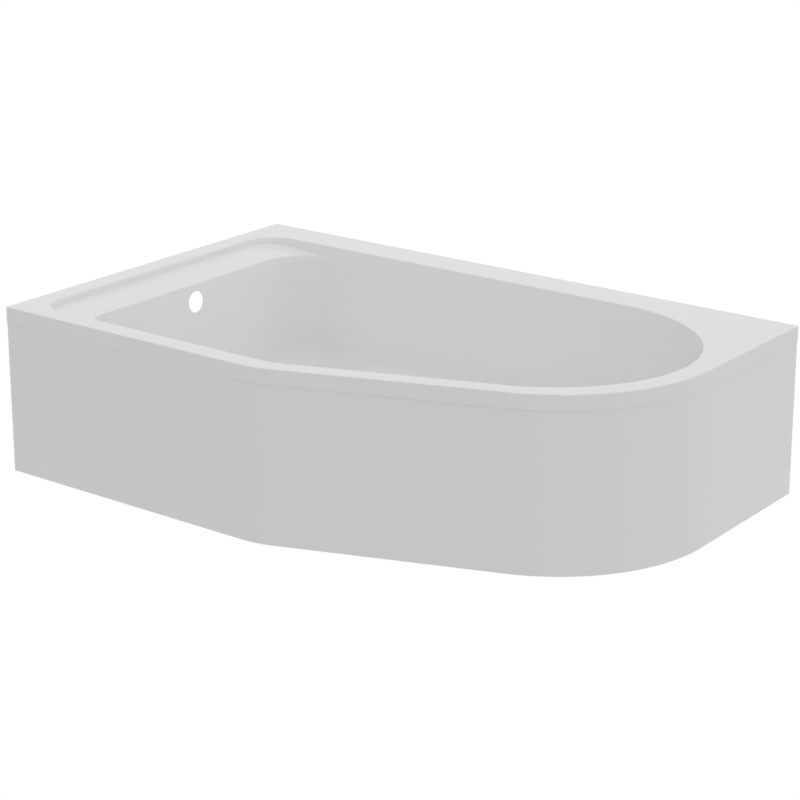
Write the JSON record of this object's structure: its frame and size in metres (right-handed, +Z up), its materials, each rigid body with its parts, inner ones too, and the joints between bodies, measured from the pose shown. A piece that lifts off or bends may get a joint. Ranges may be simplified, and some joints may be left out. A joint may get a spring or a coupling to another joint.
{
  "type": "asymmetric bathtub",
  "caption": "Asymmetric bath with a wide shelf end and a narrow round end, standing on levelling feet, with a pull-off formed panel along its open front and side.",
  "frame": {"origin": "on the floor under the middle of the bath's plan", "axes": "+X towards the narrow round end, +Y towards the long back wall side, +Z up"},
  "size_m": [1.5, 0.95, 0.394],
  "materials": {
    "acrylic": "glossy white sanitary acrylic",
    "board": "raw chipboard",
    "timber": "raw planed softwood",
    "zinc_steel": "zinc plated",
    "pad_plastic": "moulded black plastic",
    "clip_plastic": "moulded off-white plastic"
  },
  "bodies": {
    "bath": {"bath_shell": "acrylic", "base_board": "board", "rim_batten_back": "timber", "rim_batten_left": "timber", "rim_batten_front": "timber", "rim_batten_taper": "timber", "rim_batten_end": "timber", "rim_batten_right": "timber", "leg_rail_left": "zinc_steel", "leg_rail_right": "zinc_steel", "leg_rail_centre": "zinc_steel", "captive_nuts": "zinc_steel", "lock_nuts": "zinc_steel", "rail_screws": "zinc_steel", "wall_bracket_back_left": "zinc_steel", "wall_bracket_back_right": "zinc_steel", "wall_bracket_left": "zinc_steel", "bracket_screws": "zinc_steel", "panel_clips": "clip_plastic", "clip_screws": "zinc_steel", "panel_stay_left": "zinc_steel", "panel_stay_right": "zinc_steel", "panel_stay_end": "zinc_steel", "stay_bolts": "zinc_steel", "stay_nuts": "zinc_steel", "end_stay_screws": "zinc_steel"},
    "panel": {"front_panel": "acrylic", "panel_bars": "timber"},
    "foot_1": {"foot_stud_1": "zinc_steel"},
    "pad_1": {"foot_pad_1": "pad_plastic"},
    "foot_2": {"foot_stud_2": "zinc_steel"},
    "pad_2": {"foot_pad_2": "pad_plastic"},
    "foot_3": {"foot_stud_3": "zinc_steel"},
    "pad_3": {"foot_pad_3": "pad_plastic"},
    "foot_4": {"foot_stud_4": "zinc_steel"},
    "pad_4": {"foot_pad_4": "pad_plastic"},
    "foot_5": {"foot_stud_5": "zinc_steel"},
    "pad_5": {"foot_pad_5": "pad_plastic"}
  },
  "joints": [
    {"name": "foot_1_height", "type": "slide", "parent": "bath", "child": "foot_1", "axis": [0, 0, 1], "range_m": [-0.01, 0.012]},
    {"name": "foot_2_height", "type": "slide", "parent": "bath", "child": "foot_2", "axis": [0, 0, 1], "range_m": [-0.01, 0.012]},
    {"name": "foot_3_height", "type": "slide", "parent": "bath", "child": "foot_3", "axis": [0, 0, 1], "range_m": [-0.01, 0.012]},
    {"name": "foot_4_height", "type": "slide", "parent": "bath", "child": "foot_4", "axis": [0, 0, 1], "range_m": [-0.01, 0.012]},
    {"name": "foot_5_height", "type": "slide", "parent": "bath", "child": "foot_5", "axis": [0, 0, 1], "range_m": [-0.01, 0.012]},
    {"name": "pad_1_swivel", "type": "hinge", "parent": "foot_1", "child": "pad_1", "pos_m": [-0.3, -0.224, 0], "axis": [0, 0, 1], "continuous": true},
    {"name": "pad_2_swivel", "type": "hinge", "parent": "foot_2", "child": "pad_2", "pos_m": [-0.3, 0.181, 0], "axis": [0, 0, 1], "continuous": true},
    {"name": "pad_3_swivel", "type": "hinge", "parent": "foot_3", "child": "pad_3", "pos_m": [0.38041, -0.0745, 0], "axis": [0, 0, 1], "continuous": true},
    {"name": "pad_4_swivel", "type": "hinge", "parent": "foot_4", "child": "pad_4", "pos_m": [0.38041, 0.1755, 0], "axis": [0, 0, 1], "continuous": true},
    {"name": "pad_5_swivel", "type": "hinge", "parent": "foot_5", "child": "pad_5", "pos_m": [0.04021, -0.0215, 0], "axis": [0, 0, 1], "continuous": true},
    {"name": "panel_pull", "type": "slide", "parent": "bath", "child": "panel", "axis": [0.7071, -0.7071, 0], "range_m": [0, 0.3]}
  ]
}
